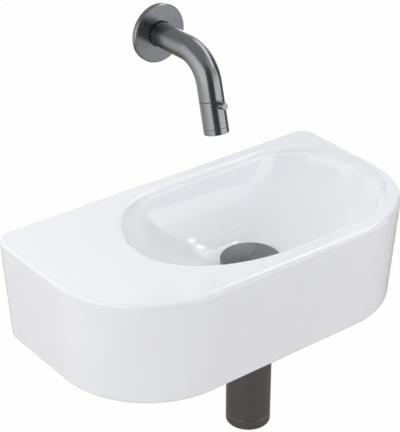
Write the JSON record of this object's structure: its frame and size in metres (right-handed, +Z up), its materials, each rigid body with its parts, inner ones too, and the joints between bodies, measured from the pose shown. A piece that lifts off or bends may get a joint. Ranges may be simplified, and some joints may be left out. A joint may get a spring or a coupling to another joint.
{
  "type": "wall hung hand basin with tap",
  "caption": "Small wall-hung ceramic hand basin with an offset bowl, a bent wall spout with a turning end, a push waste and a bottle trap.",
  "frame": {"origin": "on the wall plane, midway between the two studs that carry the basin", "axes": "+X along the wall to the right as seen from the room, +Y into the wall, +Z up"},
  "size_m": [0.3992, 0.2756, 0.452],
  "materials": {
    "glaze": "glossy white glaze",
    "gunmetal": "brushed gunmetal coating",
    "brass": "turned",
    "zinc_steel": "zinc plated",
    "spring_steel": "bright drawn",
    "black_rubber": "matt",
    "white_plastic": "moulded",
    "grey_plastic": "moulded",
    "white_ceramic": "lapped"
  },
  "bodies": {
    "fixture": {"basin": "glaze", "wall_studs": "zinc_steel", "stud_sleeves": "white_plastic", "stud_washers": "zinc_steel", "stud_nuts": "zinc_steel", "waste_body": "gunmetal", "waste_gasket": "black_rubber", "waste_seal": "black_rubber", "waste_washer": "white_plastic", "waste_nut": "brass", "click_housing": "brass", "click_spring": "spring_steel", "trap_inlet_nut": "gunmetal", "trap_inlet_seal": "black_rubber", "trap_inlet_tube": "gunmetal", "trap_body": "gunmetal", "trap_head_seal": "black_rubber", "trap_head_nut": "gunmetal", "cleanout_cap": "gunmetal", "cleanout_seal": "black_rubber", "outlet_seal": "black_rubber", "outlet_nut": "gunmetal", "outlet_pipe": "gunmetal", "outlet_rosette": "gunmetal", "wall_nipple": "brass", "nipple_seals": "black_rubber", "spout_tube": "gunmetal", "set_screw": "spring_steel", "tap_rosette": "gunmetal", "rosette_seal": "black_rubber", "valve_carrier": "brass", "carrier_seal": "black_rubber", "disc_seal": "black_rubber", "fixed_disc": "white_ceramic", "spindle_clip": "spring_steel"},
    "waste_closer": {"waste_cap": "gunmetal", "cap_seal": "black_rubber", "click_plunger": "brass"},
    "spout_handle": {"turning_disc": "white_ceramic", "valve_spindle": "brass", "spindle_seal": "black_rubber", "handle_sleeve": "gunmetal", "lever_pin": "gunmetal", "aerator_seal": "black_rubber", "aerator_ring": "gunmetal", "aerator_insert": "grey_plastic"}
  },
  "joints": [
    {"name": "cap_press", "type": "slide", "parent": "fixture", "child": "waste_closer", "axis": [0, 0, 1], "range_m": [-0.0063, 0], "deforming": ["click_spring"]},
    {"name": "handle_turn", "type": "hinge", "parent": "fixture", "child": "spout_handle", "pos_m": [0, -0.08671, 0.20643], "axis": [0, -0.2419, -0.9703], "range_deg": [0, 90]}
  ]
}
